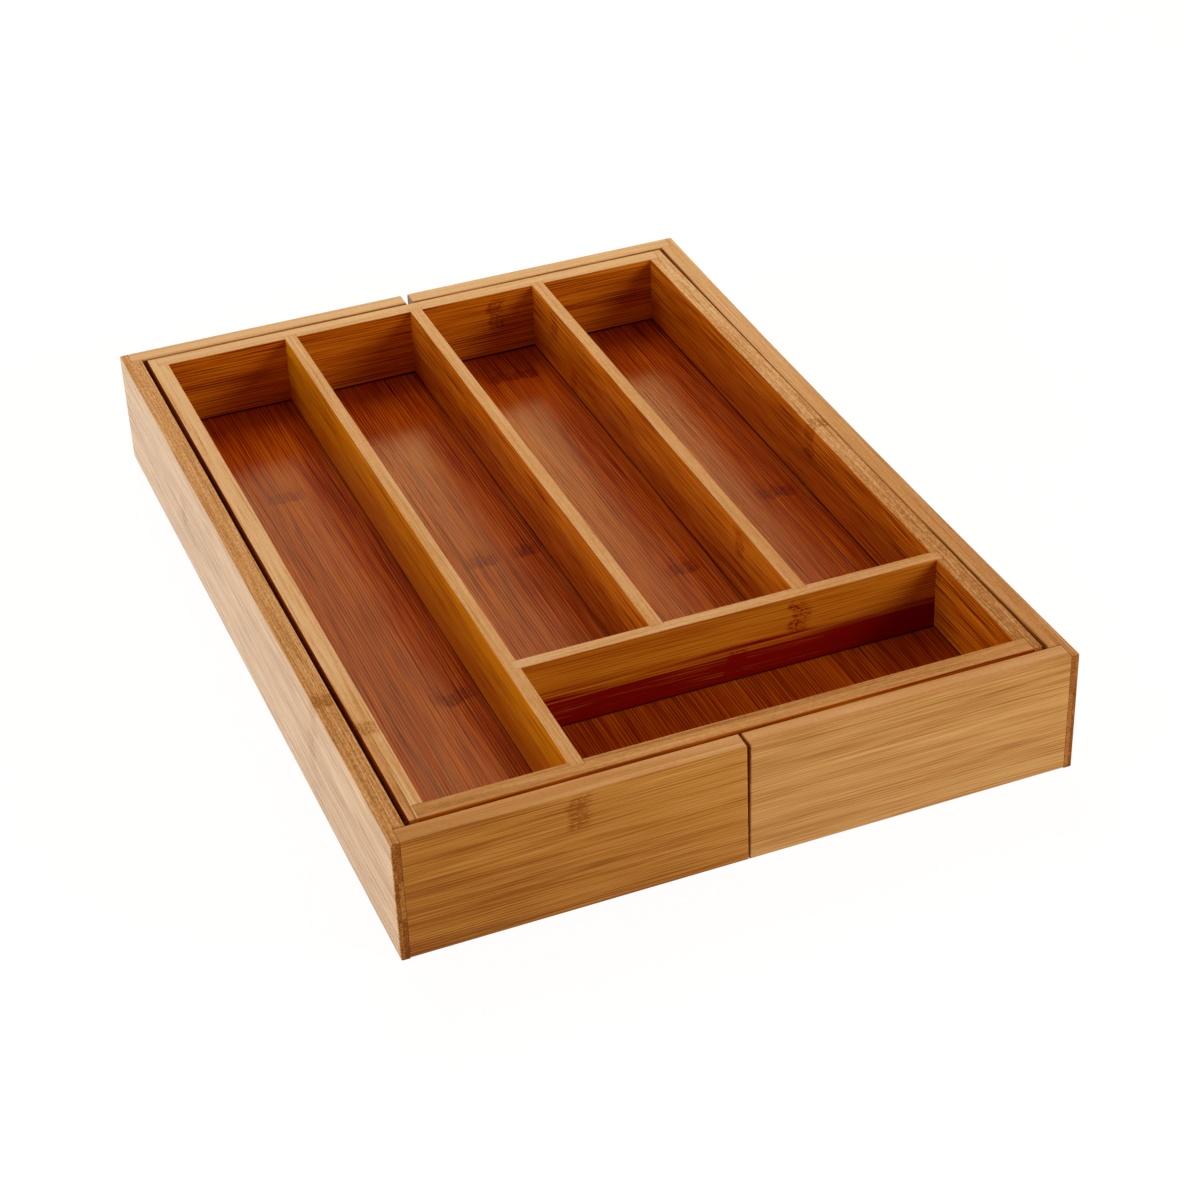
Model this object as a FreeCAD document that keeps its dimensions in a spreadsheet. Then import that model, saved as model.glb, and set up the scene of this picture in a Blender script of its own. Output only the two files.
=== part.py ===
import FreeCAD, Part
import os
import re
import Sketcher

# Extending bamboo cutlery tray: a tray of five compartments inside two pull-out frames.
# Millimetres, +Z up. The origin is on the table, under the middle of the closed tray, and
# the front faces -Y. Each board is drawn as it looks from outside the tray: x runs along it
# to the right, z up, and y from its outer face at 0 to its inner face. Its Placement turns
# it to the side that it stands on.

# Driving sizes: alias, value and meaning, one row of the sheet each.
SIZES = [
    ("outer_width", 310, "over the two side boards, with the frames pushed in"),
    ("outer_depth", 438, "over the front and back rails"),
    ("frame_height", 60, "height of the side boards and rails"),
    ("frame_board", 9.5, "thickness of the side boards and rails"),
    ("frame_lip", 4, "wood left outside a side board's corner rebate"),
    ("frame_skirt", 6, "table to the underside of a frame's bottom panel"),
    ("frame_panel", 5, "thickness of a frame's bottom panel"),
    ("front_seam", 0.4, "between the feet of the front rails"),
    ("back_seam", 2.4, "between the feet of the back rails"),
    ("seam_lean", 0.5, "how far a rail's end leans back at its top"),
    ("side_gap", 2.3, "tray to a side board"),
    ("side_bow", 2, "how far the right side board has bowed towards the tray"),
    ("end_gap", 1.8, "tray to a rail"),
    ("tray_rise", 0.2, "tray's rim above the frame's rim"),
    ("tray_board", 9, "thickness of the tray's walls"),
    ("tray_lip", 4, "wood left outside a tray wall's corner rebate"),
    ("tray_skirt", 7.5, "lower edge of the tray's walls to its bottom panel"),
    ("tray_panel", 5, "thickness of the tray's bottom panel"),
    ("divider_board", 6.5, "thickness of the dividers"),
    ("front_bay", 70, "clear depth of the compartment before the cross divider"),
    ("groove_depth", 4, "panel groove in a board"),
    ("groove_play", 0.5, "edge of a panel to the bottom of its groove"),
    ("panel_slack", 1, "open line over a panel, in its groove and under the dividers"),
    ("wall_housing", 3, "divider let into a wall"),
    ("divider_housing", 2, "divider let into another divider"),
    ("glue_line", 0.15, "end of a board to its lip, and tongue to the rim of its seat"),
    ("slide_level", 36, "table to the middle of the tongues"),
    ("tongue_length", 30, "runner tongue along its rail"),
    ("tongue_height", 6, "runner tongue from edge to edge"),
    ("tongue_inset", 8, "middle of the seam to the near end of a tongue"),
    ("tongue_seat", 3, "tongue let into its rail"),
    ("slot_web", 1.5, "wood left between a runner slot and a divider's housing"),
    ("slot_end", 5.5, "wood left between a runner slot and the end of its wall"),
    ("slide_play", 0.3, "tongue to the faces of its slot"),
    ("stop_play", 0.5, "tongue to the end of its slot"),
    ("frame_ease", 0.8, "radius along the frames' edges"),
    ("tray_ease", 0.5, "radius along the tray's and dividers' edges"),
]

doc = FreeCAD.newDocument("cutlery_tray")
sheet = doc.addObject("Spreadsheet::Sheet", "Sizes")
for row, (alias, size, meaning) in enumerate(SIZES, start=1):
    sheet.set(f"A{row}", meaning)
    sheet.set(f"B{row}", str(size))
    sheet.setAlias(f"B{row}", alias)
doc.recompute()

# Sizes that follow from the driving ones, as rules in the sheet's aliases.
RAIL_END = "(outer_width / 2 - frame_lip - glue_line)"
TRAY_WIDTH = "(outer_width - 2 * frame_board - 2 * side_gap)"
TRAY_DEPTH = "(outer_depth - 2 * frame_board - 2 * end_gap)"
TRAY_FOOT = "(frame_skirt + frame_panel)"
TRAY_TOP = "(frame_height + tray_rise)"
TRAY_HEIGHT = f"({TRAY_TOP} - {TRAY_FOOT})"
TRAY_FLOOR = f"({TRAY_FOOT} + tray_skirt + tray_panel)"
WALL_HALF = f"({TRAY_WIDTH} / 2 - tray_lip - glue_line)"
INNER_X = f"({TRAY_WIDTH} / 2 - tray_board)"
INNER_Y = f"({TRAY_DEPTH} / 2 - tray_board)"
BAY = f"((2 * {INNER_X} - 3 * divider_board) / 4)"
CROSS_Y = f"(front_bay - {INNER_Y})"
DIVIDER_FOOT = f"({TRAY_FLOOR} + panel_slack)"
DIVIDER_HEIGHT = f"({TRAY_TOP} - {DIVIDER_FOOT})"
SLOT_DEPTH = "(tray_board - wall_housing - slot_web)"
SLOT_HEIGHT = "(tongue_height + 2 * slide_play)"


def cells(rule):
    """A rule with its aliases pointed at the sheet, as expressions need them."""
    return re.sub(r"[a-z]\w*", r"Sizes.\g<0>", rule)


def number(rule):
    """What a rule comes to with the sheet's present sizes."""
    return float(sheet.evalExpression(cells(rule)))


def divider_left(place):
    """Left face of the divider at this place, counted from the left wall as 1, 2, 3."""
    return f"({place} * {BAY} + {place - 1} * divider_board - {INNER_X})"


def sketch_on(body, plane, name, offset="0"):
    """Empty sketch on one of the body's own planes, moved along the plane's normal."""
    sketch = body.newObject("Sketcher::SketchObject", name)
    support = next(item for item in body.Origin.OriginFeatures if item.Role == plane)
    sketch.AttachmentSupport = [(support, "")]
    sketch.MapMode = "FlatFace"
    if offset != "0":
        sketch.setExpression(".AttachmentOffset.Base.z", cells(offset))
    return sketch


def place_point(sketch, line, end, across, up):
    """Tie a point of the sketch to two rules, measured from the sketch's origin."""
    for kind, axis, rule in (("DistanceX", -2, across), ("DistanceY", -1, up)):
        if rule == "0":
            sketch.addConstraint(Sketcher.Constraint("PointOnObject", line, end, axis))
            continue
        tie = Sketcher.Constraint(kind, -1, 1, line, end, number(rule))
        index = sketch.addConstraint(tie)
        sketch.setExpression(f"Constraints[{index}]", cells(rule))


def draw_outline(sketch, corners):
    """Closed outline of straight lines through corners, each a pair of rules."""
    points = [FreeCAD.Vector(number(across), number(up), 0) for across, up in corners]
    lines = [
        sketch.addGeometry(Part.LineSegment(start, end))
        for start, end in zip(points, points[1:] + points[:1])
    ]
    for line, following in zip(lines, lines[1:] + lines[:1]):
        sketch.addConstraint(Sketcher.Constraint("Coincident", line, 2, following, 1))
    for line, (across, up) in zip(lines, corners):
        place_point(sketch, line, 1, across, up)


def draw_rectangle(sketch, left, right, low, high):
    draw_outline(sketch, [(left, low), (right, low), (right, high), (left, high)])


def draw_slot(sketch, left, right, level, height):
    """Slot with half-round ends, as a router bit leaves it."""
    radius = number(height) / 2
    near = FreeCAD.Vector(number(left) + radius, number(level), 0)
    far = FreeCAD.Vector(number(right) - radius, number(level), 0)
    up = FreeCAD.Vector(0, radius, 0)
    side = FreeCAD.Vector(radius, 0, 0)
    near_end = sketch.addGeometry(Part.Arc(near + up, near - side, near - up))
    low_edge = sketch.addGeometry(Part.LineSegment(near - up, far - up))
    far_end = sketch.addGeometry(Part.Arc(far - up, far + side, far + up))
    high_edge = sketch.addGeometry(Part.LineSegment(far + up, near + up))
    # The arcs run counterclockwise, from their first point to their second.
    for first, second in (
        (near_end, low_edge),
        (low_edge, far_end),
        (far_end, high_edge),
        (high_edge, near_end),
    ):
        sketch.addConstraint(Sketcher.Constraint("Tangent", first, 2, second, 1))
    sketch.addConstraint(Sketcher.Constraint("Horizontal", low_edge))
    sketch.addConstraint(Sketcher.Constraint("Equal", near_end, far_end))
    index = sketch.addConstraint(Sketcher.Constraint("Radius", near_end, radius))
    sketch.setExpression(f"Constraints[{index}]", cells(f"({height}) / 2"))
    place_point(sketch, near_end, 3, f"({left}) + ({height}) / 2", level)
    span = Sketcher.Constraint("DistanceX", near_end, 3, far_end, 3, far.x - near.x)
    index = sketch.addConstraint(span)
    sketch.setExpression(f"Constraints[{index}]", cells(f"({right}) - ({left}) - ({height})"))


def draw_bowed_plan(sketch, length, thickness, bow):
    """Plan of a board that has bowed: two like arcs with straight ends between them."""
    radius = f"({length}) ^ 2 / (8 * {bow}) + {bow} / 2"
    arcs = []
    corners = []
    for face in ("0", thickness):
        near = FreeCAD.Vector(0, number(face), 0)
        crown = FreeCAD.Vector(number(length) / 2, number(f"{face} + {bow}"), 0)
        far = FreeCAD.Vector(number(length), number(face), 0)
        arc = sketch.addGeometry(Part.Arc(far, crown, near))
        place_point(sketch, arc, 1, length, face)
        place_point(sketch, arc, 2, "0", face)
        index = sketch.addConstraint(Sketcher.Constraint("Radius", arc, number(radius)))
        sketch.setExpression(f"Constraints[{index}]", cells(radius))
        arcs.append(arc)
        corners.append((far, near))
    outer, inner = arcs
    # An arc's first point is its far end and its second point its near end.
    for point, start, end in zip((1, 2), *corners):
        line = sketch.addGeometry(Part.LineSegment(start, end))
        sketch.addConstraint(Sketcher.Constraint("Coincident", line, 1, outer, point))
        sketch.addConstraint(Sketcher.Constraint("Coincident", line, 2, inner, point))


def add_pad(body, sketch, thickness, backwards):
    """Raise the sketch to a solid, against its normal if backwards."""
    pad = body.newObject("PartDesign::Pad", "Blank")
    pad.Profile = sketch
    pad.Reversed = backwards
    pad.setExpression("Length", cells(thickness))
    doc.recompute()


def add_pocket(body, sketch, name, depth, along_normal):
    """Cut the sketch out of the body, right through if depth is None."""
    before = body.Tip.Shape.Volume
    pocket = body.newObject("PartDesign::Pocket", name)
    pocket.Profile = sketch
    pocket.Reversed = along_normal
    if depth is None:
        pocket.Type = "ThroughAll"
    else:
        pocket.setExpression("Length", cells(depth))
    doc.recompute()
    if not pocket.Shape.Volume < before:
        raise RuntimeError(f"{body.Label}: {name} cuts nothing")


def ease_edges(body, radius, runs, on_line=1e-6):
    """Round the edges whose ends lie on the given runs, each a pair of corners."""
    lines = []
    for corners in runs:
        start, end = (FreeCAD.Vector(*map(number, corner)) for corner in corners)
        lines.append((start, end - start))
    carved = body.Tip
    names = []
    for index, edge in enumerate(carved.Shape.Edges, start=1):
        ends = [vertex.Point for vertex in edge.Vertexes]
        for start, direction in lines:
            if len(ends) == 2 and all(p.distanceToLine(start, direction) < on_line for p in ends):
                names.append(f"Edge{index}")
    fillet = body.newObject("PartDesign::Fillet", "EasedEdges")
    fillet.Base = (carved, names)
    fillet.setExpression("Radius", cells(radius))
    doc.recompute()


def new_body(label):
    body = doc.addObject("PartDesign::Body", label)
    body.Label = label
    return body


def set_place(body, across, along, up, turn=0):
    """Stand the body at a point given by rules, turned about the vertical in degrees."""
    spin = FreeCAD.Rotation(FreeCAD.Vector(0, 0, 1), turn)
    body.Placement = FreeCAD.Placement(FreeCAD.Vector(0, 0, 0), spin)
    for axis, rule in (("x", across), ("y", along), ("z", up)):
        body.setExpression(f".Placement.Base.{axis}", cells(rule))
    doc.recompute()


def board_blank(label, length, height, thickness):
    """Plain board, sawn to length, height and thickness."""
    body = new_body(label)
    sketch = sketch_on(body, "XZ_Plane", "Elevation")
    draw_rectangle(sketch, "0", length, "0", height)
    add_pad(body, sketch, thickness, True)
    return body


def cut_panel_groove(body, thickness, skirt, panel):
    """Groove along the inner face for the edge of a bottom panel, cut clear of that face."""
    sketch = sketch_on(body, "YZ_Plane", "PanelGrooveSection")
    clear = f"2 * {thickness}"
    high = f"{skirt} + {panel} + panel_slack"
    draw_rectangle(sketch, f"{thickness} - groove_depth", clear, skirt, high)
    add_pocket(body, sketch, "PanelGroove", None, True)


def cut_corner_rebates(body, length, thickness, lip):
    """Rebates at both ends of a board, which take the ends of the boards it meets."""
    sketch = sketch_on(body, "XY_Plane", "CornerRebatesPlan")
    clear = f"2 * {thickness}"
    draw_rectangle(sketch, "0", thickness, lip, clear)
    draw_rectangle(sketch, f"{length} - {thickness}", length, lip, clear)
    add_pocket(body, sketch, "CornerRebates", None, True)


def cut_housings(body, thickness, depth, starts):
    """Housings across the inner face, each as wide as the divider that is let into it."""
    sketch = sketch_on(body, "XY_Plane", "HousingsPlan")
    for start in starts:
        draw_rectangle(sketch, start, f"{start} + divider_board", f"{thickness} - {depth}", thickness)
    add_pocket(body, sketch, "Housings", None, True)


def long_edges(length, thickness, level):
    """Outer and inner edge along a board at one level."""
    return [(("0", face, level), (length, face, level)) for face in ("0", thickness)]


def lip_edges(length, lip, height):
    """Upright and top edges of the lips at both ends of a rebated board."""
    runs = []
    for end in ("0", length):
        runs.append(((end, "0", "0"), (end, "0", height)))
        runs.append(((end, "0", height), (end, lip, height)))
    return runs


def tray_side_wall(label, housing_starts=()):
    """Left or right wall of the tray, which laps over the ends of the front and back walls."""
    body = board_blank(label, TRAY_DEPTH, TRAY_HEIGHT, "tray_board")
    cut_panel_groove(body, "tray_board", "tray_skirt", "tray_panel")
    cut_corner_rebates(body, TRAY_DEPTH, "tray_board", "tray_lip")
    if housing_starts:
        cut_housings(body, "tray_board", "wall_housing", housing_starts)
    top_edges = long_edges(TRAY_DEPTH, "tray_board", TRAY_HEIGHT)
    ease_edges(body, "tray_ease", top_edges + lip_edges(TRAY_DEPTH, "tray_lip", TRAY_HEIGHT))
    return body


def frame_side(label, bowed=False):
    """Side board of a frame, which laps over the ends of the frame's two rails."""
    if bowed:
        body = new_body(label)
        sketch = sketch_on(body, "XY_Plane", "Plan")
        draw_bowed_plan(sketch, "outer_depth", "frame_board", "side_bow")
        add_pad(body, sketch, "frame_height", False)
    else:
        body = board_blank(label, "outer_depth", "frame_height", "frame_board")
    cut_panel_groove(body, "frame_board", "frame_skirt", "frame_panel")
    cut_corner_rebates(body, "outer_depth", "frame_board", "frame_lip")
    top_edges = long_edges("outer_depth", "frame_board", "frame_height")
    foot_edge = long_edges("outer_depth", "frame_board", "0")[:1]
    end_edges = lip_edges("outer_depth", "frame_lip", "frame_height")
    # The rebates leave the bowed inner edge a little off its straight run.
    on_line = number("side_bow / 2") if bowed else 1e-6
    ease_edges(body, "frame_ease", top_edges + foot_edge + end_edges, on_line)
    return body


def tray_end_wall(label, housing_starts):
    """Front or back wall of the tray, with housings inside and runner slots outside."""
    length = f"(2 * {WALL_HALF})"
    body = board_blank(label, length, TRAY_HEIGHT, "tray_board")
    cut_panel_groove(body, "tray_board", "tray_skirt", "tray_panel")
    cut_housings(body, "tray_board", "wall_housing", housing_starts)
    sketch = sketch_on(body, "XZ_Plane", "RunnerSlotsElevation")
    near = "(tongue_inset - stop_play)"
    level = f"slide_level - {TRAY_FOOT}"
    draw_slot(sketch, "slot_end", f"{WALL_HALF} - {near}", level, SLOT_HEIGHT)
    draw_slot(sketch, f"{WALL_HALF} + {near}", f"{length} - slot_end", level, SLOT_HEIGHT)
    add_pocket(body, sketch, "RunnerSlots", SLOT_DEPTH, False)
    ease_edges(body, "tray_ease", long_edges(length, "tray_board", TRAY_HEIGHT))
    return body


def divider(label, length, housing_starts=()):
    """Divider flush with the tray's rim, held by its housings just clear of the bottom panel."""
    body = board_blank(label, length, DIVIDER_HEIGHT, "divider_board")
    if housing_starts:
        cut_housings(body, "divider_board", "divider_housing", housing_starts)
    ease_edges(body, "tray_ease", long_edges(length, "divider_board", DIVIDER_HEIGHT))
    return body


def panel(label, width, depth, thickness):
    """Bottom panel, drawn from its front left corner."""
    body = new_body(label)
    sketch = sketch_on(body, "XY_Plane", "Plan")
    draw_rectangle(sketch, "0", width, "0", depth)
    add_pad(body, sketch, thickness, False)
    return body


def rail(label, seam, seam_first):
    """Half of the front or back of the frames, from a side board's lip to the middle seam.

    Its seam end leans back a little at the top, and its inner face holds the tongue's seat.
    """
    length = f"({RAIL_END} - {seam} / 2)"
    body = new_body(label)
    sketch = sketch_on(body, "XZ_Plane", "Elevation")
    if seam_first:
        foot, top = "0", "seam_lean"
        corners = [("0", "0"), (length, "0"), (length, "frame_height"), (top, "frame_height")]
        seat_left = f"tongue_inset - {seam} / 2 - glue_line"
    else:
        foot, top = length, f"{length} - seam_lean"
        corners = [("0", "0"), (foot, "0"), (top, "frame_height"), ("0", "frame_height")]
        seat_left = f"{RAIL_END} - tongue_inset - tongue_length - glue_line"
    draw_outline(sketch, corners)
    add_pad(body, sketch, "frame_board", True)
    cut_panel_groove(body, "frame_board", "frame_skirt", "frame_panel")
    sketch = sketch_on(body, "XZ_Plane", "TongueSeatElevation", "-frame_board")
    seat_right = f"{seat_left} + tongue_length + 2 * glue_line"
    draw_slot(sketch, seat_left, seat_right, "slide_level", "tongue_height + 2 * glue_line")
    add_pocket(body, sketch, "TongueSeat", "tongue_seat", True)
    top_edges = long_edges(length, "frame_board", "frame_height")
    foot_edge = long_edges(length, "frame_board", "0")[:1]
    seam_edge = ((foot, "0", "0"), (top, "0", "frame_height"))
    seam_top = ((top, "0", "frame_height"), (top, "frame_board", "frame_height"))
    ease_edges(body, "frame_ease", top_edges + foot_edge + [seam_edge, seam_top])
    return body


def tongue(label):
    """Round-ended strip that is glued into a rail and rides in the tray's slot."""
    body = new_body(label)
    sketch = sketch_on(body, "XZ_Plane", "Elevation")
    draw_slot(sketch, "0", "tongue_length", "tongue_height / 2", "tongue_height")
    add_pad(body, sketch, f"tongue_seat + end_gap + {SLOT_DEPTH} - slide_play", True)
    return body


# The tray: two end walls lapped by two side walls, a bottom panel in grooves all round,
# and four dividers let into the walls and into each other.
first, second, third = (divider_left(place) for place in (1, 2, 3))
tray_front = tray_end_wall("tray_front", [f"({first} + {WALL_HALF})"])
set_place(tray_front, f"-{WALL_HALF}", f"-{TRAY_DEPTH} / 2", TRAY_FOOT)

back_housings = [f"({WALL_HALF} - {left} - divider_board)" for left in (first, second, third)]
tray_back = tray_end_wall("tray_back", back_housings)
set_place(tray_back, WALL_HALF, f"{TRAY_DEPTH} / 2", TRAY_FOOT, 180)

tray_left = tray_side_wall("tray_left")
set_place(tray_left, f"-{TRAY_WIDTH} / 2", f"{TRAY_DEPTH} / 2", TRAY_FOOT, -90)

tray_right = tray_side_wall("tray_right", ["(tray_board + front_bay)"])
set_place(tray_right, f"{TRAY_WIDTH} / 2", f"-{TRAY_DEPTH} / 2", TRAY_FOOT, 90)

reach = "(groove_depth - groove_play)"
tray_bottom = panel(
    "tray_bottom", f"2 * ({INNER_X} + {reach})", f"2 * ({INNER_Y} + {reach})", "tray_panel"
)
set_place(tray_bottom, f"-{INNER_X} - {reach}", f"-{INNER_Y} - {reach}", f"{TRAY_FOOT} + tray_skirt")

long_divider = divider(
    "long_divider",
    f"2 * ({INNER_Y} + wall_housing)",
    [f"({INNER_Y} + wall_housing - {CROSS_Y} - divider_board)"],
)
set_place(long_divider, first, f"{INNER_Y} + wall_housing", DIVIDER_FOOT, -90)

cross_start = f"({first} + divider_board - divider_housing)"
cross_divider = divider(
    "cross_divider",
    f"{INNER_X} + wall_housing - {cross_start}",
    [f"({left} - {cross_start})" for left in (second, third)],
)
set_place(cross_divider, cross_start, CROSS_Y, DIVIDER_FOOT)

for label, left in (("middle_divider", second), ("right_divider", third)):
    short = divider(
        label,
        f"{INNER_Y} + wall_housing - {CROSS_Y} - divider_board + divider_housing",
    )
    set_place(short, left, f"{INNER_Y} + wall_housing", DIVIDER_FOOT, -90)

# The two frames: a side board, a front and a back rail let into its rebates, a bottom panel
# in grooves on three sides, and a tongue on each rail that keeps the frame on the tray.
left_side = frame_side("left_side")
set_place(left_side, "-outer_width / 2", "outer_depth / 2", "0", -90)

right_side = frame_side("right_side", bowed=True)
set_place(right_side, "outer_width / 2", "-outer_depth / 2", "0", 90)

# A rail at the back is turned round, so its x runs the other way: the left back rail and the
# right front rail are drawn from the seam, the other two from the side board.
for side, end, seam, start, along, turn in (
    ("left", "front", "front_seam", f"-{RAIL_END}", "-outer_depth / 2", 0),
    ("right", "front", "front_seam", "front_seam / 2", "-outer_depth / 2", 0),
    ("left", "back", "back_seam", "-back_seam / 2", "outer_depth / 2", 180),
    ("right", "back", "back_seam", RAIL_END, "outer_depth / 2", 180),
):
    half = rail(f"{side}_{end}_rail", seam, (side == "right") == (end == "front"))
    set_place(half, start, along, "0", turn)

for side, end, start, sign, turn in (
    ("left", "front", "-tongue_inset - tongue_length", "-", 0),
    ("right", "front", "tongue_inset", "-", 0),
    ("left", "back", "-tongue_inset", "", 180),
    ("right", "back", "tongue_inset + tongue_length", "", 180),
):
    key = tongue(f"{side}_{end}_tongue")
    seat_face = f"{sign}(outer_depth / 2 - frame_board + tongue_seat)"
    set_place(key, start, seat_face, "slide_level - tongue_height / 2", turn)

panel_inner = "(back_seam / 2)"
panel_outer = f"(outer_width / 2 - frame_board + {reach})"
panel_end = f"(outer_depth / 2 - frame_board + {reach})"
for side, start in (("left", f"-{panel_outer}"), ("right", panel_inner)):
    floor = panel(
        f"{side}_bottom", f"{panel_outer} - {panel_inner}", f"2 * {panel_end}", "frame_panel"
    )
    set_place(floor, start, f"-{panel_end}", "frame_skirt")

# Check every object and shape, then write one file for each piece.
doc.recompute()
failed = [item.Name for item in doc.Objects if {"Invalid", "Error"} & set(item.State)]
if failed:
    raise RuntimeError(f"failed objects: {failed}")
bodies = [item for item in doc.Objects if item.TypeId == "PartDesign::Body"]
for body in bodies:
    if body.Shape.isNull() or not body.Shape.isValid() or len(body.Shape.Solids) != 1:
        raise RuntimeError(f"{body.Label} is not one valid solid")
os.makedirs("parts", exist_ok=True)
for body in bodies:
    body.Shape.exportStep(f"parts/{body.Label}.step")
    box = body.Shape.BoundBox
    print(f"{body.Label}: x {box.XMin:.2f} {box.XMax:.2f}, y {box.YMin:.2f} {box.YMax:.2f}, "
          f"z {box.ZMin:.2f} {box.ZMax:.2f}, {body.Shape.Volume:.0f} mm3")
pull_out = f"{WALL_HALF} - slot_end - tongue_inset - tongue_length - stop_play"
print(f"each frame pulls out by {number(pull_out):.2f} mm")
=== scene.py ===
import math

import bpy
from mathutils import Matrix, Vector

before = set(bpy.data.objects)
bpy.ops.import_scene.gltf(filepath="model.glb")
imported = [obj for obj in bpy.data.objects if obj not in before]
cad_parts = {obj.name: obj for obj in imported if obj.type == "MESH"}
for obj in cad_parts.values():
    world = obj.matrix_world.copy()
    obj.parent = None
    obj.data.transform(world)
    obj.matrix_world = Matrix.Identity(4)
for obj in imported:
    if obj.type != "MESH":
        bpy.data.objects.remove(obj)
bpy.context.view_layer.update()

scene = bpy.context.scene
scene.view_settings.view_transform = "Standard"

# Bottom panel of the tray
# A thin bamboo board, glued up edge to edge from flat strips, sanded and lacquered.
# It lies in grooves round the four walls, and its grain runs from front to back.

MM_PER_METRE = 1000.0

# Sizes of the cane in millimetres. Its fibre bundles are about 0.5 mm apart in the real cane
# and are drawn coarser, so that they show.
STRIP_WIDTH = 20.5
STRIP_START = 1.0
PLY_THICKNESS = 4.5
BUNDLE_SPACING = 1.5

# Satin lacquer. Its sheen is weaker than that of a gloss lacquer of IOR 1.5, so the IOR is lower.
LACQUER_IOR = 1.18
LACQUER_TINT = "#FFE670"
LACQUER_ROUGHNESS = 0.12
FIBRE_ROUGHNESS = 0.14
KNUCKLE_ROUGHNESS = 0.1
RIM_ROUGHNESS = 0.26
RELIEF_STRENGTH = 0.4
RELIEF_DEPTH = 0.0002


def linear(code):
    """Turn an sRGB hex colour into the linear colour that the shader works in."""
    channels = [int(code[i:i + 2], 16) / 255 for i in (1, 3, 5)]
    return [c / 12.92 if c <= 0.04045 else ((c + 0.055) / 1.055) ** 2.4 for c in channels] + [1]


def add_node(tree, kind, sockets=None, **settings):
    """Add a node, set it up, join or fill its sockets, and give back its outputs."""
    node = tree.nodes.new("ShaderNode" + kind)
    for name, setting in settings.items():
        setattr(node, name, setting)
    for socket, source in (sockets or {}).items():
        if isinstance(source, bpy.types.NodeSocket):
            tree.links.new(source, node.inputs[socket])
        else:
            node.inputs[socket].default_value = source
    return node.outputs


def new_group(name, inputs, outputs):
    """Start a node group with named float or colour sockets, and give back its two ends."""
    colours = ("Pale", "Middle", "Dark", "Colour")
    tree = bpy.data.node_groups.new(name, "ShaderNodeTree")
    for in_out, sockets in (("INPUT", inputs), ("OUTPUT", outputs)):
        for socket in sockets:
            kind = "NodeSocketColor" if socket in colours else "NodeSocketFloat"
            tree.interface.new_socket(name=socket, in_out=in_out, socket_type=kind)
    start = tree.nodes.new("NodeGroupInput").outputs
    end = tree.nodes.new("NodeGroupOutput").inputs
    return tree, start, end


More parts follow.
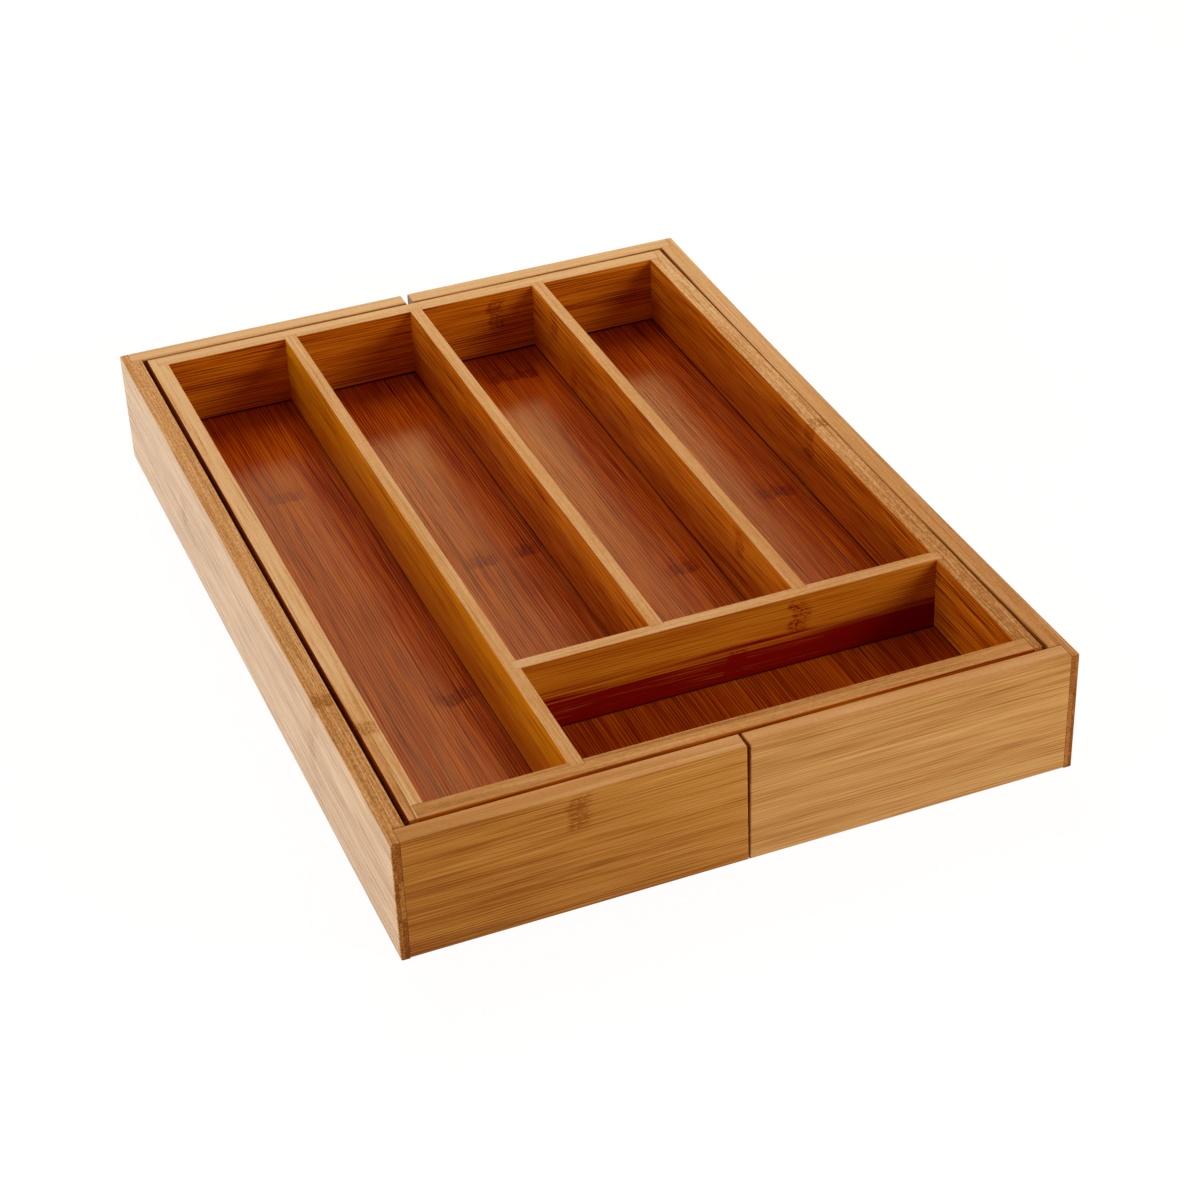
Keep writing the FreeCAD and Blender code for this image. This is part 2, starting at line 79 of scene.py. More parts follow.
def build_knuckle():
    """One knuckle of the cane: a soft brown band across one strip, mottled with cut fibres.

    Its sizes are in millimetres. Comb is 1 for a knuckle that lies flat in the board.
    """
    wander_width, wander_range = 6, 12
    band_start, band_full, band_fade, band_end = -6, -2.5, 1, 8
    tail_width, tail_short, tail_long = 0.9, -5, 12
    ridge_spacing = 6.5
    fleck_length, fleck_width = 2, 1.2
    line_core, line_edge, line_tone = 0.3, 1.5, 1.1
    edge_blur, flat_edge_blur = 3, 4
    inputs = ("Along", "Across", "Through", "Centre", "Low", "High", "Seed", "Comb")
    tree, start, end = new_group("bamboo knuckle", inputs, ("Mask",))
    along, across, through = start["Along"], start["Across"], start["Through"]
    # The knuckle wanders by a few millimetres across the strip.
    place = add_node(tree, "CombineXYZ", {0: across, 1: start["Seed"], 2: through})[0]
    wander = add_node(tree, "TexNoise", {"Vector": place, "Scale": 1 / wander_width, "Detail": 2})[0]
    middle = add_node(
        tree, "Math", {0: wander, 1: wander_range, 2: start["Centre"]}, operation="MULTIPLY_ADD"
    )[0]
    middle = add_node(tree, "Math", {0: middle, 1: wander_range / 2}, operation="SUBTRACT")[0]
    off = add_node(tree, "Math", {0: along, 1: middle}, operation="SUBTRACT")[0]
    # The band is about 11 mm long and soft at both ends.
    near = add_node(
        tree, "MapRange", {0: off, 1: band_start, 2: band_full, 3: 0, 4: 1},
        interpolation_type="SMOOTHSTEP",
    )[0]
    # A knuckle that lies flat fades out along the grain, further in one fibre than in the next.
    comb_v = add_node(tree, "Math", {0: across, 1: tail_width}, operation="DIVIDE")[0]
    comb_place = add_node(tree, "CombineXYZ", {0: start["Seed"], 1: comb_v, 2: through})[0]
    comb = add_node(tree, "TexNoise", {"Vector": comb_place, "Scale": 1, "Detail": 1})[0]
    comb = add_node(
        tree, "MapRange", {0: comb, 1: 0.3, 2: 0.7, 3: tail_short, 4: tail_long}, clamp=False
    )[0]
    tail = add_node(
        tree, "Math", {0: comb, 1: start["Comb"], 2: band_end}, operation="MULTIPLY_ADD"
    )[0]
    far = add_node(
        tree, "MapRange", {0: off, 1: band_fade, 2: tail, 3: 1, 4: 0},
        interpolation_type="SMOOTHSTEP",
    )[0]
    band = add_node(tree, "Math", {0: near, 1: far}, operation="MULTIPLY")[0]
    # Two ridges in the band are darker than the hollow between them.
    ridges = add_node(tree, "Math", {0: off, 1: 2 * math.pi / ridge_spacing}, operation="MULTIPLY")[0]
    ridges = add_node(tree, "Math", {0: ridges}, operation="COSINE")[0]
    ridges = add_node(tree, "Math", {0: ridges, 1: -0.25, 2: 0.75}, operation="MULTIPLY_ADD")[0]
    band = add_node(tree, "Math", {0: band, 1: ridges}, operation="MULTIPLY")[0]
    # Short flecks of cut fibre mottle it, fainter in a knuckle that lies flat.
    fleck_u = add_node(tree, "Math", {0: along, 1: fleck_length}, operation="DIVIDE")[0]
    fleck_v = add_node(tree, "Math", {0: across, 1: fleck_width}, operation="DIVIDE")[0]
    fleck_w = add_node(tree, "Math", {0: through, 1: start["Seed"]}, operation="ADD")[0]
    fleck_place = add_node(tree, "CombineXYZ", {0: fleck_u, 1: fleck_v, 2: fleck_w})[0]
    fleck = add_node(tree, "TexNoise", {"Vector": fleck_place, "Scale": 1, "Detail": 2})[0]
    faint = add_node(tree, "MapRange", {0: start["Comb"], 1: 0, 2: 1, 3: 0.35, 4: 0.55})[0]
    fleck = add_node(
        tree, "MapRange", {0: fleck, 1: 0.42, 2: 0.62, 3: faint, 4: 1},
        interpolation_type="SMOOTHSTEP",
    )[0]
    mark = add_node(tree, "Math", {0: band, 1: fleck}, operation="MULTIPLY")[0]
    # A thin dark line runs along the middle of the band.
    beside = add_node(tree, "Math", {0: off}, operation="ABSOLUTE")[0]
    line = add_node(tree, "MapRange", {0: beside, 1: line_core, 2: line_edge, 3: line_tone, 4: 0})[0]
    line = add_node(tree, "Math", {0: line, 1: fleck}, operation="MULTIPLY")[0]
    mark = add_node(tree, "Math", {0: mark, 1: line}, operation="MAXIMUM")[0]
    # The knuckle belongs to its own strip and thins out just before the strip's edges.
    low = add_node(tree, "Math", {0: across, 1: start["Low"]}, operation="SUBTRACT")[0]
    high = add_node(tree, "Math", {0: start["High"], 1: across}, operation="SUBTRACT")[0]
    edge = add_node(tree, "Math", {0: low, 1: high}, operation="MINIMUM")[0]
    soft = add_node(
        tree, "Math", {0: start["Comb"], 1: flat_edge_blur, 2: edge_blur}, operation="MULTIPLY_ADD"
    )[0]
    inside = add_node(tree, "MapRange", {0: edge, 1: 0, 2: soft, 3: 0, 4: 1})[0]
    mark = add_node(tree, "Math", {0: mark, 1: inside}, operation="MULTIPLY")[0]
    tree.links.new(mark, end["Mask"])
    return tree


def build_strips():
    """Strips of split cane side by side: fibres, streaks, dark hairlines, sanded rims, cut ends.

    Its sizes are in millimetres.
    """
    shift_range = 900
    sway_length, sway_width, sway_range = 150, 30, 3
    bundle_wander = 7
    foot_ragged, foot_full, foot_clear = 10, 1, 9
    scratch_width, scratch_stretch = 0.7, 3
    dots_per_mm, dot_tone, strip_uptake = 1.1, 0.25, 0.6
    # Painted shade under the walls and dividers is this much darker.
    painted_joint_shade_tone = 1.0
    inputs = (
        "Along", "Across", "Through", "Seed", "Tone", "Painted Light Drift", "Strip Contrast", "Fibres", "Bundles",
        "Streaks", "Clouds", "Lines", "Foot Edge", "Foot Tone", "Knuckle", "Knuckle Tone", "Painted Joint Shade",
        "Scratches", "End", "End Tone", "Pale", "Middle", "Dark",
    )
    tree, start, end = new_group("bamboo strips", inputs, ("Colour", "Roughness", "Height"))
    along, across, through = start["Along"], start["Across"], start["Through"]
    # Every strip of every ply has its own tone, and its fibres start at their own place.
    lane = add_node(tree, "Math", {0: across, 1: STRIP_WIDTH}, operation="DIVIDE")[0]
    strip = add_node(tree, "Math", {0: lane}, operation="FLOOR")[0]
    ply = add_node(tree, "Math", {0: through, 1: PLY_THICKNESS}, operation="DIVIDE")[0]
    ply = add_node(tree, "Math", {0: ply}, operation="FLOOR")[0]
    cell = add_node(tree, "CombineXYZ", {0: strip, 1: ply, 2: start["Seed"]})[0]
    chance = add_node(tree, "TexWhiteNoise", {"Vector": cell}, noise_dimensions="3D")["Color"]
    chance = add_node(tree, "SeparateXYZ", {0: chance})
    shift = add_node(
        tree, "Math", {0: chance[0], 1: shift_range, 2: along}, operation="MULTIPLY_ADD"
    )[0]
    # The fibres wave a little, by about a millimetre.
    sway_u = add_node(tree, "Math", {0: shift, 1: sway_length}, operation="DIVIDE")[0]
    sway_v = add_node(tree, "Math", {0: across, 1: sway_width}, operation="DIVIDE")[0]
    sway_place = add_node(tree, "CombineXYZ", {0: sway_u, 1: sway_v, 2: start["Seed"]})[0]
    sway = add_node(tree, "TexNoise", {"Vector": sway_place, "Scale": 1, "Detail": 1})[0]
    waved = add_node(tree, "Math", {0: sway, 1: sway_range, 2: across}, operation="MULTIPLY_ADD")[0]
    # Fibres, streaks, clouds and vessels: width across the grain, length along it, and detail.
    # The finest real fibres are about 0.3 mm wide and are drawn wider, so that they still show.
    noises = []
    for width, length, detail in ((0.55, 40, 2), (1.5, 100, 2), (8, 130, 1), (0.55, 80, 0)):
        u = add_node(tree, "Math", {0: shift, 1: length}, operation="DIVIDE")[0]
        v = add_node(tree, "Math", {0: waved, 1: width}, operation="DIVIDE")[0]
        w = add_node(tree, "Math", {0: through, 1: width}, operation="DIVIDE")[0]
        place = add_node(tree, "CombineXYZ", {0: u, 1: v, 2: w})[0]
        noises.append(add_node(tree, "TexNoise", {"Vector": place, "Scale": 1, "Detail": detail})[0])
    fibre, streak, cloud, vessel = noises
    lines = add_node(
        tree, "MapRange", {0: vessel, 1: 0.53, 2: 0.7, 3: 0, 4: 1}, interpolation_type="SMOOTHSTEP"
    )[0]
    # Bundles of fibres lie side by side and wander with the streaks.
    bundles = add_node(
        tree, "Math", {0: waved, 1: 2 * math.pi / BUNDLE_SPACING}, operation="MULTIPLY"
    )[0]
    bundles = add_node(
        tree, "Math", {0: streak, 1: bundle_wander, 2: bundles}, operation="MULTIPLY_ADD"
    )[0]
    bundles = add_node(tree, "Math", {0: bundles}, operation="SINE")[0]
    bundles = add_node(tree, "Math", {0: bundles, 1: vessel}, operation="MULTIPLY")[0]
    # Vessel lines crowd where the streaks are dark.
    dense = add_node(
        tree, "MapRange", {0: streak, 1: 0.35, 2: 0.65, 3: 1, 4: 0.3}, interpolation_type="SMOOTHSTEP"
    )[0]
    lines = add_node(tree, "Math", {0: lines, 1: dense}, operation="MULTIPLY")[0]
    # A darker foot strip ends along its fibres, not along a ruled line.
    ragged = add_node(tree, "Math", {0: streak, 1: foot_ragged, 2: across}, operation="MULTIPLY_ADD")[0]
    foot = add_node(tree, "Math", {0: ragged, 1: start["Foot Edge"]}, operation="SUBTRACT")[0]
    foot = add_node(
        tree, "MapRange", {0: foot, 1: foot_full, 2: foot_clear, 3: 1, 4: 0},
        interpolation_type="SMOOTHSTEP",
    )[0]
    # Sanding leaves short scratches of about 0.7 by 2 mm on the upper edges.
    scratch_u = add_node(tree, "Math", {0: along, 1: scratch_stretch}, operation="DIVIDE")[0]
    scratch_place = add_node(tree, "CombineXYZ", {0: scratch_u, 1: across, 2: through})[0]
    scratch = add_node(
        tree, "TexNoise", {"Vector": scratch_place, "Scale": 1 / scratch_width, "Detail": 2}
    )[0]
    # All of these shift one tone, some both ways and some only towards the dark.
    # The drift is painted light and shade: the tone gets paler or darker towards one end of the board,
    # as the light falls along it.
    tone = add_node(
        tree, "Math", {0: along, 1: start["Painted Light Drift"], 2: start["Tone"]}, operation="MULTIPLY_ADD"
    )[0]
    for value, weight in (
        (chance[1], start["Strip Contrast"]), (fibre, start["Fibres"]), (streak, start["Streaks"]),
        (cloud, start["Clouds"]), (scratch, start["Scratches"]),
    ):
        centred = add_node(tree, "Math", {0: value, 1: 0.5}, operation="SUBTRACT")[0]
        tone = add_node(tree, "Math", {0: centred, 1: weight, 2: tone}, operation="MULTIPLY_ADD")[0]
    tone = add_node(
        tree, "Math", {0: bundles, 1: start["Bundles"], 2: tone}, operation="MULTIPLY_ADD"
    )[0]
    for value, weight in (
        (lines, start["Lines"]), (foot, start["Foot Tone"]),
        (start["Knuckle"], start["Knuckle Tone"]), (start["Painted Joint Shade"], painted_joint_shade_tone),
    ):
        darker = add_node(tree, "Math", {0: value, 1: weight}, operation="MULTIPLY")[0]
        tone = add_node(tree, "Math", {0: tone, 1: darker}, operation="SUBTRACT")[0]
    # Cut ends show the fibres as dots, and take up more finish in one strip than in the next.
    dots_v = add_node(tree, "CombineXYZ", {0: across, 1: through})[0]
    dots = add_node(
        tree, "TexVoronoi", {"Vector": dots_v, "Scale": dots_per_mm}, voronoi_dimensions="2D"
    )[0]
    dots = add_node(
        tree, "Math", {0: dots, 1: dot_tone, 2: start["End Tone"]}, operation="MULTIPLY_ADD"
    )[0]
    dots = add_node(tree, "Math", {0: chance[2], 1: strip_uptake, 2: dots}, operation="MULTIPLY_ADD")[0]
    cut = add_node(tree, "Math", {0: dots, 1: start["End"]}, operation="MULTIPLY")[0]
    tone = add_node(tree, "Math", {0: tone, 1: cut}, operation="ADD")[0]
    # The tone runs from the dark colour at 0 through the middle one to the pale one at 1.
    low = add_node(tree, "MapRange", {0: tone, 1: 0, 2: 0.5, 3: 0, 4: 1})[0]
    high = add_node(tree, "MapRange", {0: tone, 1: 0.5, 2: 1, 3: 0, 4: 1})[0]
    shade = add_node(tree, "Mix", {0: low, 6: start["Dark"], 7: start["Middle"]}, data_type="RGBA")[2]
    colour = add_node(tree, "Mix", {0: high, 6: shade, 7: start["Pale"]}, data_type="RGBA")[2]
    tree.links.new(colour, end["Colour"])
    # The lacquer lies unevenly over the fibres and is duller on the knuckles. Vessels lie lower.
    rough = add_node(
        tree, "Math", {0: fibre, 1: FIBRE_ROUGHNESS, 2: LACQUER_ROUGHNESS}, operation="MULTIPLY_ADD"
    )[0]
    rough = add_node(
        tree, "Math", {0: start["Knuckle"], 1: KNUCKLE_ROUGHNESS, 2: rough}, operation="MULTIPLY_ADD"
    )[0]
    tree.links.new(rough, end["Roughness"])
    height = add_node(tree, "Math", {0: fibre, 1: lines}, operation="SUBTRACT")[0]
    tree.links.new(height, end["Height"])
    return tree


knuckle_group = build_knuckle()
strip_group = build_strips()
CUT = ("#C88C4A", "#AA682A", "#804414")
NO_FOOT = (-999, 0)
KNUCKLE_SEEDS = 7


def bamboo(
    name, grain, across, palette, seed, tone=0.5, painted_light_drift=0.0, contrast=0.2, fibres=1.1, bundles=0.14,
    streaks=0.5, clouds=0.7, lines=0.3, rim=None, rim_tone=0.5, rim_painted_light_drift=0.0, rim_grain=0.8,
    scratches=0.5, foot=NO_FOOT, foot_shadow_side=None, end_tone=-0.3, gap_shade=None, joints=(), knuckles=(),
    knuckle_tone=0.55, comb=0.0,
):
    """Give a board its carbonised bamboo under satin lacquer.

    grain and across are the axes along the fibres and across the strips. palette and rim are the
    pale, middle and dark colours of the faces and of the sanded upper edge. tone goes from dark
    at 0 to pale at 1, and painted_light_drift changes it with every millimetre along the grain, as
    painted light and shade. contrast, fibres, bundles, streaks, clouds, lines and scratches say how
    strongly each shows, and rim_grain scales the grain on the upper edge.

    foot is the upper limit and the darkening of the lowest strip. foot_shadow_side is the axis and side
    of the face where the dark foot is painted shadow, and the darkening of the other faces. gap_shade
    is the axis, the side and the change of tone of a face that looks into a narrow gap, as painted
    shade of that gap. joints are the (x, x, y, y) edges of the places where other boards stand,
    darkened as painted shade, and knuckles are (along, lowest, highest), both in millimetres. comb is 1
    where the knuckles lie flat in the board.
    """
    askew, square = 0.6, 0.9
    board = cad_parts[name]
    material = bpy.data.materials.new("lacquered carbonised bamboo " + name)
    material.use_nodes = True
    tree = material.node_tree
    tree.nodes.clear()
    through = next(axis for axis in "XYZ" if axis not in (grain, across))
    source = add_node(tree, "TexCoord")
    in_mm = add_node(tree, "Mapping", {"Vector": source["Object"], "Scale": [MM_PER_METRE] * 3})[0]
    at = add_node(tree, "SeparateXYZ", {0: in_mm})
    lane = add_node(tree, "Math", {0: at[across], 1: STRIP_START}, operation="ADD")[0]
    mark = 0.0
    for place, (run, low, high) in enumerate(knuckles):
        fixed = {
            "Centre": run, "Low": low, "High": high, "Seed": seed * KNUCKLE_SEEDS + place,
            "Comb": comb, "Along": at[grain], "Across": at[across], "Through": at[through],
        }
        mask = add_node(tree, "Group", {}, node_tree=knuckle_group)[0]
        for socket, value in fixed.items():
            if isinstance(value, bpy.types.NodeSocket):
                tree.links.new(value, mask.node.inputs[socket])
            else:
                mask.node.inputs[socket].default_value = value
        mark = add_node(tree, "Math", {0: mark, 1: mask}, operation="MAXIMUM")[0]
    # Painted shade: the board is darkened where a wall or a divider stands over it, so that the slot
    # under each reads as a dark line.
    painted_joint_shade = 0.0
    for x_low, x_high, y_low, y_high in joints:
        inside = 1.0
        for axis, low, high in (("X", x_low, x_high), ("Y", y_low, y_high)):
            middle, half = (low + high) / 2, (high - low) / 2
            beside = add_node(tree, "Math", {0: at[axis], 1: middle, 2: half}, operation="COMPARE")[0]
            inside = add_node(tree, "Math", {0: inside, 1: beside}, operation="MULTIPLY")[0]
        painted_joint_shade = add_node(tree, "Math", {0: painted_joint_shade, 1: inside}, operation="MAXIMUM")[0]
    # The way that a face looks says whether it is a cut end or the upper edge.
    normal = add_node(tree, "SeparateXYZ", {0: source["Normal"]})
    end = add_node(tree, "Math", {0: normal[grain]}, operation="ABSOLUTE")[0]
    end = add_node(tree, "MapRange", {0: end, 1: askew, 2: square, 3: 0, 4: 1})[0]
    upper = add_node(tree, "MapRange", {0: normal["Z"], 1: 0.5, 2: square, 3: 0, 4: 1})[0]
    settings = {
        "Along": at[grain], "Across": lane, "Through": at[through], "Seed": seed, "Tone": tone,
        "Painted Light Drift": painted_light_drift, "Strip Contrast": contrast, "Fibres": fibres, "Bundles": bundles,
        "Streaks": streaks, "Clouds": clouds, "Lines": lines, "Foot Edge": foot[0] + STRIP_START,
        "Foot Tone": foot[1], "Knuckle": mark, "Knuckle Tone": knuckle_tone, "Painted Joint Shade": painted_joint_shade,
        "Scratches": 0, "End": end, "End Tone": end_tone,
    }
    # Where foot_shadow_side is given, the full dark foot shows on one face only, as painted shadow of
    # the wall in front of it; the other faces keep a lighter darkening of their lowest strip.
    if foot_shadow_side:
        axis, side, other_tone = foot_shadow_side
        facing = add_node(tree, "Math", {0: normal[axis], 1: side}, operation="MULTIPLY")[0]
        settings["Foot Tone"] = add_node(
            tree, "MapRange", {0: facing, 1: askew, 2: square, 3: other_tone, 4: foot[1]}
        )[0]
    # Painted shade: faces that look into the narrow gaps between the tray and the frames are made
    # darker, as the shade in those gaps.
    if gap_shade:
        axis, side, change = gap_shade
        facing = add_node(tree, "Math", {0: normal[axis], 1: side}, operation="MULTIPLY")[0]
        settings["Tone"] = add_node(
            tree, "MapRange", {0: facing, 1: askew, 2: square, 3: tone, 4: tone + change}
        )[0]
    # Sanding has given the upper edge its own tone and grain, and fine scratches.
    if rim:
        # The rim's drift is painted light and shade along the upper edge: paler where the light from
        # behind catches it, darker where a wall shades it.
        on_rim = {
            "Tone": rim_tone, "Painted Light Drift": painted_light_drift + rim_painted_light_drift, "Fibres": fibres * rim_grain,
            "Bundles": bundles * rim_grain, "Streaks": streaks * rim_grain,
            "Clouds": clouds * rim_grain, "Lines": lines * rim_grain, "Scratches": scratches,
        }
        for socket, value in on_rim.items():
            settings[socket] = add_node(
                tree, "MapRange", {0: upper, 1: 0, 2: 1, 3: settings[socket], 4: value}
            )[0]
    for socket, face, edge, cut in zip(("Pale", "Middle", "Dark"), palette, rim or palette, CUT):
        shade = linear(face)
        if rim:
            shade = add_node(tree, "Mix", {0: upper, 6: shade, 7: linear(edge)}, data_type="RGBA")[2]
        settings[socket] = add_node(
            tree, "Mix", {0: end, 6: shade, 7: linear(cut)}, data_type="RGBA"
        )[2]
    strips = add_node(tree, "Group", {}, node_tree=strip_group)
    node = strips["Colour"].node
    for socket, value in settings.items():
        if isinstance(value, bpy.types.NodeSocket):
            tree.links.new(value, node.inputs[socket])
        else:
            node.inputs[socket].default_value = value
    # The lacquer is thinner on the sanded edge, so that the edge is duller than the faces.
    roughness = strips["Roughness"]
    if rim:
        roughness = add_node(
            tree, "Math", {0: upper, 1: RIM_ROUGHNESS, 2: roughness}, operation="MULTIPLY_ADD"
        )[0]
    relief = add_node(
        tree, "Bump",
        {"Height": strips["Height"], "Strength": RELIEF_STRENGTH, "Distance": RELIEF_DEPTH},
    )[0]
    # Bamboo browned by steam, under satin lacquer, gives the eye straight fibres in warm browns,
    # silky lines along the grain and a weak amber sheen at low angles.
    shader = add_node(
        tree, "BsdfPrincipled",
        {
            "Base Color": strips["Colour"], "Roughness": roughness, "Normal": relief,
            "IOR": LACQUER_IOR, "Specular Tint": linear(LACQUER_TINT),
        },
    )[0]
    add_node(tree, "OutputMaterial", {"Surface": shader})
    for slot in board.material_slots:
        slot.material = material


PANEL = ("#CC6C04", "#AC4602", "#6C1400")
PANEL_GRAIN = {
    "contrast": 0.15, "fibres": 1.9, "bundles": 0.4, "streaks": 0.08, "clouds": 0.25, "lines": 0.12,
}
bamboo(
    "tray_bottom", "Y", "X", PANEL, 3, **PANEL_GRAIN, comb=1.0,
    joints=(
        (-138, 138, 198.7, 203), (-138, 138, -203, -198.7),
        (-138, -134.2, -203, 203), (134.2, 138, -203, 203),
        (-72, -65.5, -203, 203), (-66, 138, -128.7, -122.2),
        (-3.25, 3.25, -125, 203), (65.5, 72, -125, 203),
    ),
    knuckles=(
        (106, -114, -92), (-88, -96, -72), (10, -45, -24), (11, -22, -2), (173, 26, 60),
        (-35, 40, 61), (7, 107, 131),
    ),
)

# Walls of the tray
# Four boards of two bamboo plies, rebated and glued at the corners, with the grain lying
# along each wall. The sanded upper edges have come out paler than the lacquered faces.

TRAY = ("#DC8C22", "#C96D09", "#842F02")
RIM = ("#DFBC94", "#C79059", "#905820")
bamboo(
    "tray_front", "X", "Z", TRAY, 11, rim=RIM, rim_tone=0.37, rim_grain=0.85, gap_shade=("Y", -1, -0.3)
)
# Its upper edge is set paler than the front boards' edges: partly its own tone, partly painted sheen of
# the light from behind.
bamboo(
    "tray_back", "X", "Z", TRAY, 12, fibres=2.0, bundles=0.2, streaks=0.3,
    rim=RIM, rim_tone=0.88, rim_grain=0.5, knuckles=((45, 38, 58),),
)
bamboo(
    "tray_left", "Y", "Z", TRAY, 13, rim=RIM, rim_tone=0.82, rim_painted_light_drift=0.0003, rim_grain=1.4,
    gap_shade=("X", -1, -0.3), knuckles=((-143, 41, 75),),
)
# Its face is painted darker towards the front, as painted shade in the front bay.
bamboo(
    "tray_right", "Y", "Z", TRAY, 14, tone=0.47, painted_light_drift=0.0005, fibres=3.0, bundles=0.3, streaks=0.35,
    rim=RIM, rim_tone=0.45, rim_painted_light_drift=0.0009, rim_grain=0.6, scratches=1.2, knuckles=((2, 41, 75),),
)

# Dividers
# Thinner boards of the same bamboo, glued into housings in the walls and in each other.
# They end just over the bottom panel, and their upper edges are flush with the walls.

GOLDEN = ("#E8A81A", "#D68606", "#8A3902")
# Its lowest strip is painted a little lighter: painted light on the lower part of its face.
bamboo(
    "long_divider", "Y", "Z", GOLDEN, 21, fibres=1.8, streaks=0.25, lines=0.15, foot=(37, -0.1),
    rim=RIM, rim_tone=0.66, rim_painted_light_drift=0.0004, rim_grain=0.6,
)
bamboo(
    "middle_divider", "Y", "Z", TRAY, 22, fibres=3.2, bundles=0.25, streaks=0.3,
    rim=RIM, rim_tone=0.58, rim_painted_light_drift=0.0004, rim_grain=0.3,
)
bamboo(
    "right_divider", "Y", "Z", TRAY, 23, fibres=3.2, bundles=0.25, streaks=0.3,
    rim=RIM, rim_tone=0.53, rim_painted_light_drift=0.0005, rim_grain=0.3,
    knuckles=((168, 41, 59), (142, 22, 39), (-66, 41, 59)),
)
CROSS = ("#D69830", "#C07416", "#7C0A03")
# Its front face's dark lowest strip is partly a darker strip and partly painted shadow of the front
# wall.
bamboo(
    "cross_divider", "X", "Z", CROSS, 24, tone=0.54, streaks=0.2, clouds=0.8, lines=0.1,
    rim=RIM, rim_tone=0.8, rim_painted_light_drift=-0.0015, foot=(39, 0.62), foot_shadow_side=("Y", -1, 0.12),
    knuckles=((66, 40, 59), (35, 26, 40)), knuckle_tone=0.4,
)

# Side boards and rails of the two pull-out frames
# Boards of the same make as the tray's walls, glued in corner rebates so that a side board's
# end grain shows beside each rail. No two boards come from the same cane, so their tones differ.

FRAME = ("#E5B774", "#CF9855", "#9C6128")
REDDER = ("#DAA358", "#C68839", "#965318")
# The left side's palette is paler and pinker: partly its own tone, partly painted sheen of light
# glancing off its outer face.
PALE_WITH_PAINTED_SHEEN = ("#EED0A0", "#E3B97E", "#B68246")
bamboo(
    "left_side", "Y", "Z", PALE_WITH_PAINTED_SHEEN, 31, fibres=3.2, clouds=0.8, lines=0.15, foot=(19.5, 0.1),
    rim=RIM, rim_painted_light_drift=0.0005, rim_grain=0.5, scratches=1.4, end_tone=-0.4,
    knuckles=((-115, 41, 75), (-107, 20, 41), (104, 20, 41)),
)
bamboo(
    "right_side", "Y", "Z", FRAME, 32, fibres=1.8, streaks=0.3,
    rim=RIM, rim_tone=0.57, rim_painted_light_drift=0.0008, rim_grain=0.5, end_tone=-0.45, gap_shade=("X", -1, -0.25),
)
# It is painted darker towards its left end, as painted shade where less light reaches it.
bamboo(
    "left_front_rail", "X", "Z", REDDER, 33, tone=0.65, painted_light_drift=0.002, fibres=1.6, streaks=0.25,
    clouds=0.8, lines=0.2, rim=RIM, rim_tone=0.64, rim_grain=0.4, scratches=0.3, foot=(19, 0.15),
    knuckles=((-75.5, 41, 60),),
)
bamboo(
    "right_front_rail", "X", "Z", FRAME, 34, tone=0.64, fibres=1.7, streaks=0.25, clouds=0.8,
    lines=0.15, rim=RIM, rim_tone=0.55, rim_grain=0.4, scratches=0.3, foot=(19, 0.1),
)
# Their upper edges are set paler than the front boards' edges: partly their own tone, partly painted
# sheen of the light from behind.
for place, name in enumerate(("left_back_rail", "right_back_rail")):
    bamboo(
        name, "X", "Z", FRAME, 35 + place, fibres=2.2, streaks=0.35,
        rim=RIM, rim_tone=0.93, rim_grain=0.4, gap_shade=("Y", -1, -0.25),
    )

# Runner tongues
# Short round-ended strips of bamboo, glued into the rails. They ride in the slots of the
# tray's walls and stop the frames from coming off.

for place, name in enumerate(
    ("left_front_tongue", "right_front_tongue", "left_back_tongue", "right_back_tongue")
):
    bamboo(name, "X", "Z", FRAME, 41 + place)

# Bottom panels of the frames
# Thin bamboo boards like the tray's own bottom, with the grain from front to back. Each lies in
# grooves on three sides of its frame and slides under the tray with it.

for place, name in enumerate(("left_bottom", "right_bottom")):
    bamboo(name, "Y", "X", PANEL, 51 + place, **PANEL_GRAIN)

# Floor, light and camera
# A sheet of matt white paper, a white surround and large soft lamps, as in a photographer's
# tent. The camera stands where the tray's outline fits the one in the photograph.

FLOOR_HALF = 12.0
FLOOR_LEVEL = -0.0002
PAPER = "#E6E6E6"
SHADOW_PAPER = "#5C5C5C"
PAPER_GLOW = 0.94


def shown_to_eye(tree):
    """Give 1 for rays that show a thing to the eye, straight, mirrored or through glass."""
    path = add_node(tree, "LightPath")
    shown = add_node(
        tree, "Math", {0: path["Is Camera Ray"], 1: path["Is Glossy Ray"]}, operation="MAXIMUM"
    )[0]
    return add_node(tree, "Math", {0: shown, 1: path["Is Transmission Ray"]}, operation="MAXIMUM")[0]


mesh = bpy.data.meshes.new("floor")
signs = [(-1, -1), (1, -1), (1, 1), (-1, 1)]
corners = [(x * FLOOR_HALF, y * FLOOR_HALF, FLOOR_LEVEL) for x, y in signs]
mesh.from_pydata(corners, [], [(0, 1, 2, 3)])
floor = bpy.data.objects.new("floor", mesh)
scene.collection.objects.link(floor)
# Matt paper gives the eye an even white with no sheen, and a soft shadow under the tray.
paper = bpy.data.materials.new("matt white paper")
paper.use_nodes = True
tree = paper.node_tree
tree.nodes.clear()
white = add_node(tree, "BsdfDiffuse", {"Color": linear(PAPER)})[0]
soft = add_node(tree, "BsdfDiffuse", {"Color": linear(SHADOW_PAPER)})[0]
glow = add_node(tree, "Emission", {"Color": linear("#FFFFFF"), "Strength": PAPER_GLOW})[0]
lit = add_node(tree, "AddShader", {0: soft, 1: glow})[0]
surface = add_node(tree, "MixShader", {0: shown_to_eye(tree), 1: white, 2: lit})[0]
add_node(tree, "OutputMaterial", {"Surface": surface})
mesh.materials.append(paper)

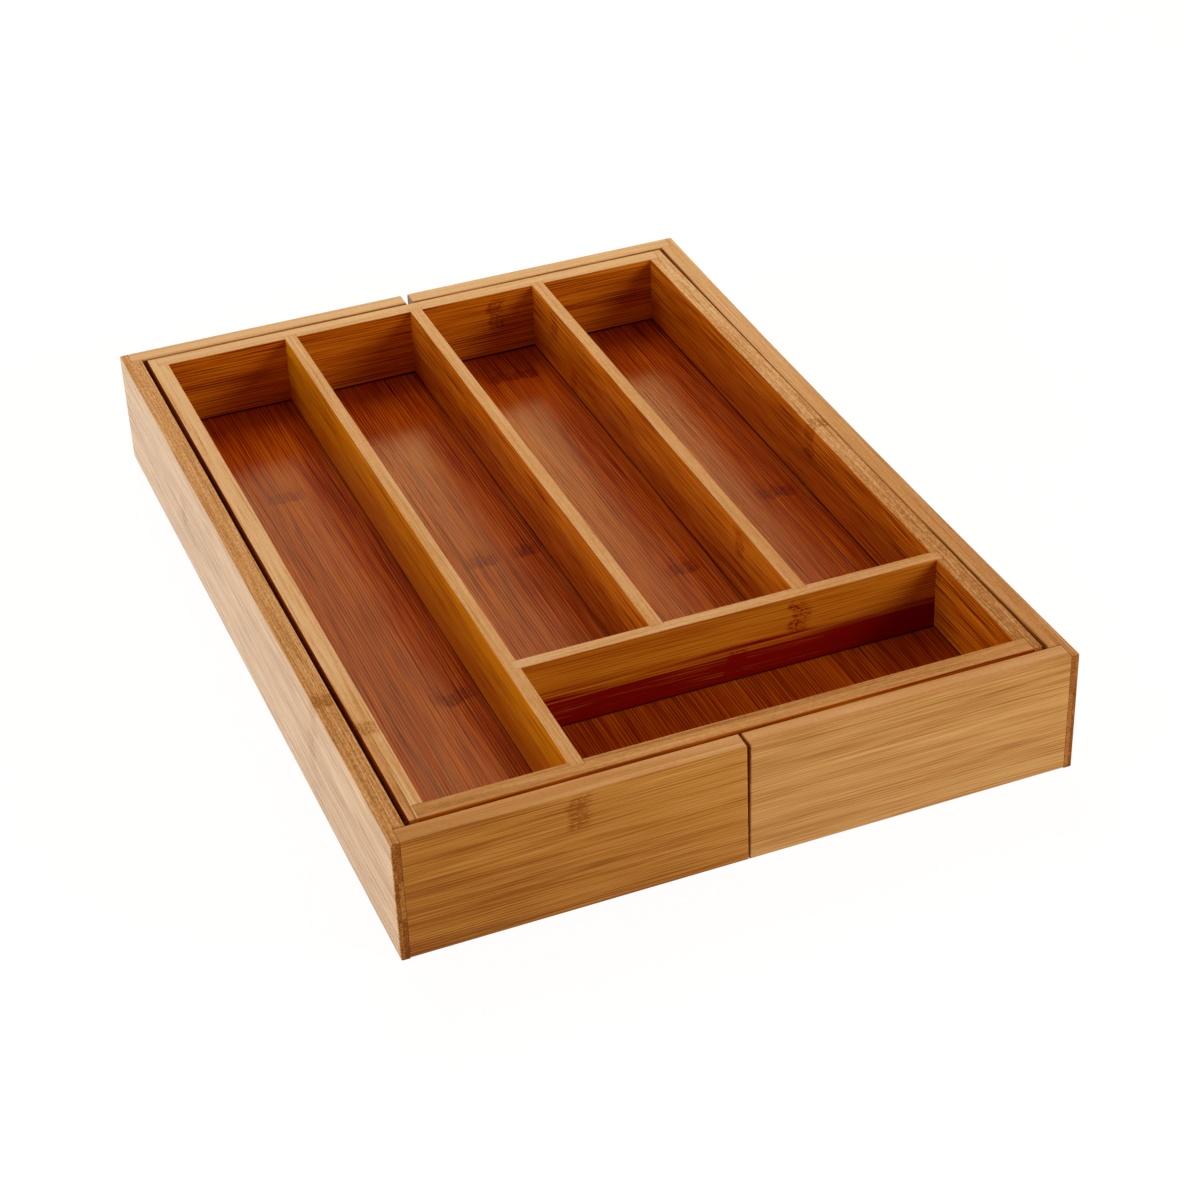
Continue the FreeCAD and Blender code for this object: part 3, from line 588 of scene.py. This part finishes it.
# The surround is plain white to the eye, and lights the tray weakly and warmly.
SURROUND_LIGHT = 0.22
SURROUND_TINT = "#FFCBAA"
world = bpy.data.worlds.new("white surround")
scene.world = world
world.use_nodes = True
tree = world.node_tree
tree.nodes.clear()
shown = shown_to_eye(tree)
strength = add_node(tree, "MapRange", {0: shown, 1: 0, 2: 1, 3: SURROUND_LIGHT, 4: 1})[0]
tint = add_node(
    tree, "Mix", {0: shown, 6: linear(SURROUND_TINT), 7: linear("#FFFFFF")}, data_type="RGBA"
)[2]
sky = add_node(tree, "Background", {"Color": tint, "Strength": strength})[0]
add_node(tree, "OutputWorld", {"Surface": sky})

# Each lamp has its place and its width in metres, its power in watts and its colour.
for name, place, size, power, tint in (
    ("softbox right", (1.2, -1.3, 0.8), 0.8, 18, "#FFFFFF"),
    ("softbox left", (-2.0, -0.2, 0.45), 0.8, 16, "#FFFFFF"),
    ("softbox left behind", (-1.2, 0.9, 1.5), 1.0, 5, "#FFFFFF"),
    ("softbox behind", (0.8, 2.1, 1.0), 0.8, 11.5, "#FFE490"),
    ("softbox over the back", (0.2, 1.5, 1.8), 1.0, 18, "#FFEEBE"),
):
    lamp = bpy.data.lights.new(name, "AREA")
    lamp.size = size
    lamp.energy = power
    lamp.color = linear(tint)[:3]
    holder = bpy.data.objects.new(name, lamp)
    holder.location = place
    holder.rotation_euler = (-Vector(place)).to_track_quat("-Z", "Y").to_euler()
    scene.collection.objects.link(holder)

LENS = 82.295
CAMERA_PLACE = Vector((-0.37477, -1.03450, 0.73839))
AZIMUTH, ELEVATION, ROLL = (math.radians(angle) for angle in (-20.937, 33.982, -2.298))
back = Vector((
    math.sin(AZIMUTH) * math.cos(ELEVATION),
    -math.cos(AZIMUTH) * math.cos(ELEVATION),
    math.sin(ELEVATION),
))
level = Vector((0, 0, 1)).cross(back).normalized()
right = level * math.cos(ROLL) + back.cross(level) * math.sin(ROLL)
up = back.cross(right)
turned = Matrix((right, up, back)).transposed().to_4x4()
camera = bpy.data.objects.new("camera", bpy.data.cameras.new("camera"))
camera.data.lens = LENS
camera.matrix_world = Matrix.Translation(CAMERA_PLACE) @ turned
scene.collection.objects.link(camera)
scene.camera = camera
